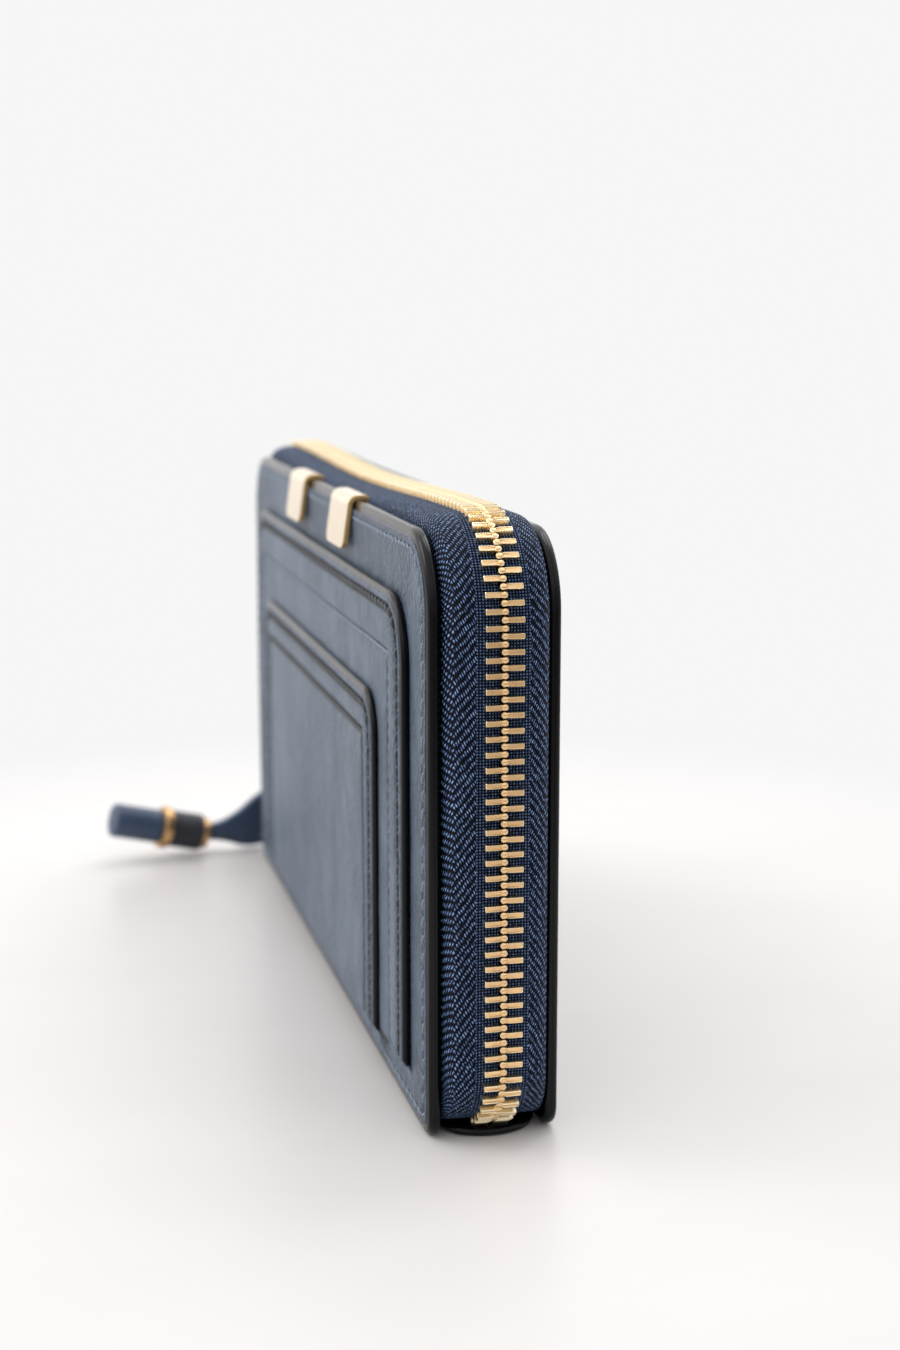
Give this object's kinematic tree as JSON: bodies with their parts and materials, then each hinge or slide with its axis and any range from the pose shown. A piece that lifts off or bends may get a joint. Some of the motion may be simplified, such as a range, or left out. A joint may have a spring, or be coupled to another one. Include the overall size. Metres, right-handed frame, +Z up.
{
  "type": "long wallet",
  "caption": "Long zip-around wallet in blue-grey leather with stepped front panels, metal edge plates, a brass zip and a leather pull, standing on its spine.",
  "frame": {"origin": "middle of the spine's flat underside, on the surface the wallet stands on", "axes": "+X along the wallet, away from the parked slider; -Y out of the front cover, which carries the panels and plates; +Z up, towards the zip along the top"},
  "size_m": [0.2013, 0.06, 0.1037],
  "materials": {
    "outer_leather": "matte, fine grain",
    "inner_leather": "smooth",
    "stiffener_board": "plain",
    "zip_tape_cloth": "herringbone weave",
    "lining_cloth": "plain weave",
    "gold_plated_brass": "polished"
  },
  "bodies": {
    "core": {"spine_leather": "outer_leather", "spine_lining": "inner_leather", "zip_bottom_stop": "gold_plated_brass", "coin_wall_front": "inner_leather", "coin_wall_back": "inner_leather", "coin_pocket_lining": "lining_cloth", "coin_zip_tape_front": "zip_tape_cloth", "coin_zip_tape_back": "zip_tape_cloth", "coin_zip_teeth_front": "gold_plated_brass", "coin_zip_teeth_back": "gold_plated_brass", "coin_zip_stops": "gold_plated_brass", "gusset_front_near": "inner_leather", "gusset_front_far": "inner_leather", "gusset_back_near": "inner_leather", "gusset_back_far": "inner_leather"},
    "front_cover": {"front_cover_leather": "outer_leather", "front_cover_board": "stiffener_board", "front_cover_lining": "inner_leather", "front_panel_outer": "outer_leather", "front_panel_inner": "outer_leather", "front_plate_left": "gold_plated_brass", "front_plate_right": "gold_plated_brass", "zip_tape_front": "zip_tape_cloth", "zip_teeth_front": "gold_plated_brass", "zip_top_stop_front": "gold_plated_brass"},
    "back_cover": {"back_cover_leather": "outer_leather", "back_cover_board": "stiffener_board", "back_cover_lining": "inner_leather", "zip_tape_back": "zip_tape_cloth", "zip_teeth_back": "gold_plated_brass", "zip_top_stop_back": "gold_plated_brass"},
    "front_leaf": {"front_leaf_panel": "inner_leather", "front_card_row_1": "inner_leather", "front_card_row_2": "inner_leather", "front_card_row_3": "inner_leather"},
    "back_leaf": {"back_leaf_panel": "inner_leather", "back_card_row_1": "inner_leather", "back_card_row_2": "inner_leather", "back_card_row_3": "inner_leather"},
    "zip_slider": {"zip_slider_body": "gold_plated_brass", "zip_slider_diamond": "gold_plated_brass"},
    "pull_ring": {"pull_ring": "gold_plated_brass"},
    "pull_strap": {"pull_strap": "outer_leather", "pull_small_collar": "gold_plated_brass", "pull_wrap": "outer_leather", "pull_collar": "gold_plated_brass", "pull_barrel": "outer_leather"},
    "coin_slider": {"coin_slider_body": "gold_plated_brass", "coin_slider_diamond": "gold_plated_brass"},
    "coin_tab": {"coin_pull_tab": "gold_plated_brass"}
  },
  "joints": [
    {"name": "front_cover_hinge", "type": "hinge", "parent": "core", "child": "front_cover", "pos_m": [0, -0.01, 0.0015], "axis": [1, 0, 0], "range_deg": [0, 35], "stiffness_Nm_per_rad": 0.3, "deforming": ["gusset_front_near", "gusset_front_far"]},
    {"name": "back_cover_hinge", "type": "hinge", "parent": "core", "child": "back_cover", "pos_m": [0, 0.01, 0.0015], "axis": [-1, 0, 0], "range_deg": [0, 35], "stiffness_Nm_per_rad": 0.3, "deforming": ["gusset_back_near", "gusset_back_far"]},
    {"name": "front_leaf_hinge", "type": "hinge", "parent": "core", "child": "front_leaf", "pos_m": [0, -0.0056, 0.004], "axis": [1, 0, 0], "range_deg": [0, 17.5]},
    {"name": "back_leaf_hinge", "type": "hinge", "parent": "core", "child": "back_leaf", "pos_m": [0, 0.0056, 0.004], "axis": [-1, 0, 0], "range_deg": [0, 17.5]},
    {"name": "zip_slider_slide", "type": "slide", "parent": "front_cover", "child": "zip_slider", "axis": [0, 0, 1], "range_m": [0, 0.058], "deforming": ["zip_teeth_front", "zip_teeth_back"]},
    {"name": "pull_ring_hinge", "type": "hinge", "parent": "zip_slider", "child": "pull_ring", "pos_m": [-0.10075, 0, 0.021], "axis": [0, 1, 0], "range_deg": [0, 95]},
    {"name": "pull_strap_hinge", "type": "hinge", "parent": "pull_ring", "child": "pull_strap", "pos_m": [-0.10075, -0.0055, 0.014], "axis": [0, 0, 1], "range_deg": [-80, 30]},
    {"name": "coin_slider_slide", "type": "slide", "parent": "core", "child": "coin_slider", "axis": [1, 0, 0], "range_m": [0, 0.128], "deforming": ["coin_zip_teeth_front", "coin_zip_teeth_back"]},
    {"name": "coin_tab_hinge", "type": "hinge", "parent": "coin_slider", "child": "coin_tab", "pos_m": [-0.064, 0, 0.08935], "axis": [0, 1, 0], "range_deg": [0, 170]}
  ],
  "couplings": [
    {"joint": "back_cover_hinge", "follows": "front_cover_hinge", "ratio": 1},
    {"joint": "front_leaf_hinge", "follows": "front_cover_hinge", "ratio": 0.5},
    {"joint": "back_leaf_hinge", "follows": "front_cover_hinge", "ratio": 0.5}
  ]
}
